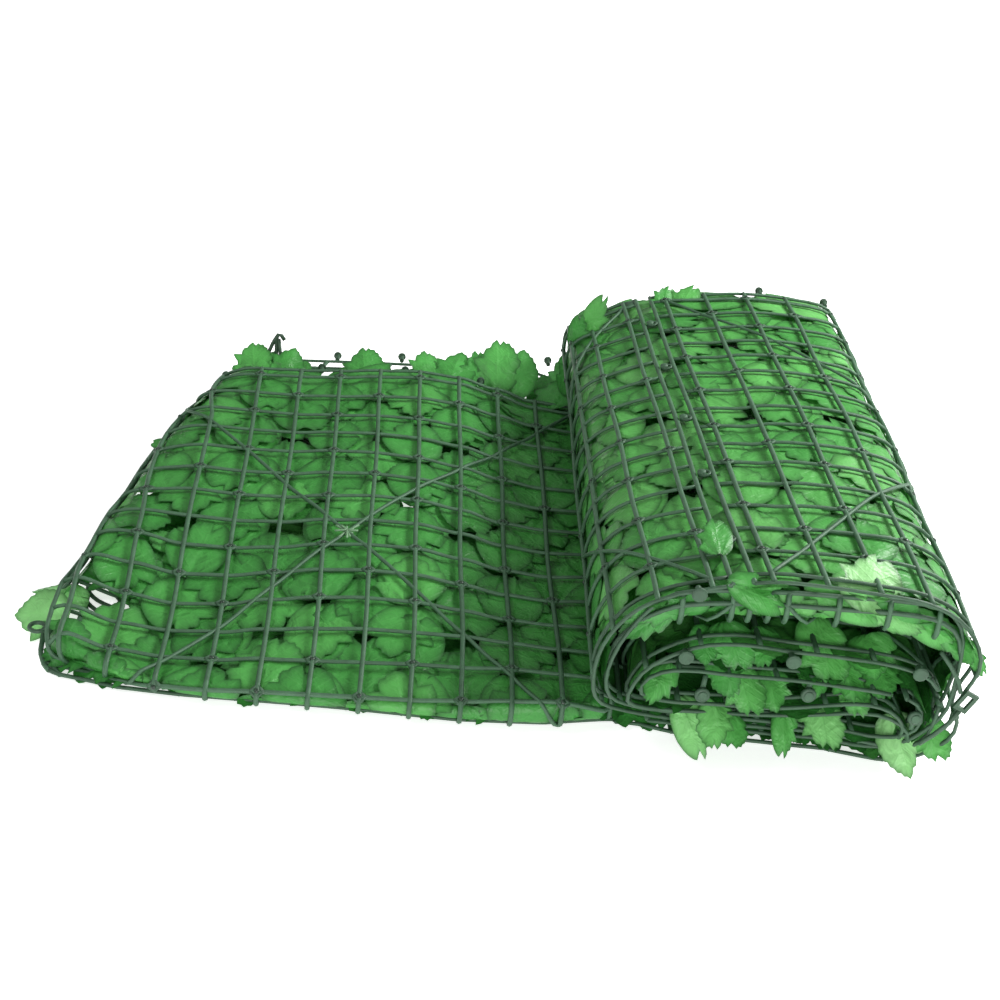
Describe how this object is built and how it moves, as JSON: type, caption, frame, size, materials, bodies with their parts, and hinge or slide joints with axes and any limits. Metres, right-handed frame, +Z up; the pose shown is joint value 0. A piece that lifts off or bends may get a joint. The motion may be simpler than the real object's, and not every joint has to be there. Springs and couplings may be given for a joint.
{
  "type": "artificial leaf privacy screen",
  "caption": "Partly unrolled strip of square plastic mesh with artificial leaves on one face, folded in half and rolled up, used to screen a fence or balcony.",
  "frame": {"origin": "middle of the box's underside, on the surface that the screen lies on", "axes": "+X along the strip towards the roll, +Y along the roll's axis towards its back end, +Z up"},
  "size_m": [0.5794, 0.5182, 0.137],
  "materials": {
    "leaves": "satin printed polyester leaves, creased along their veins",
    "mesh_plastic": "dark green moulded plastic with a slight sheen"
  },
  "bodies": {
    "root": {"roll": "leaves", "loose_end_upper": "leaves", "loose_end_lower": "leaves", "stud_flat_back_1": "mesh_plastic", "stud_flat_back_2": "mesh_plastic", "stud_flat_back_3": "mesh_plastic", "stud_end_back_1": "mesh_plastic", "stud_end_back_2": "mesh_plastic", "stud_end_back_3": "mesh_plastic", "stud_roll_back_1": "mesh_plastic", "stud_roll_back_2": "mesh_plastic", "stud_roll_front_1": "mesh_plastic", "stud_roll_front_2": "mesh_plastic", "stud_roll_front_3": "mesh_plastic", "stud_roll_front_4": "mesh_plastic", "ring_free_end": "mesh_plastic", "corner_frame": "mesh_plastic"}
  },
  "joints": []
}
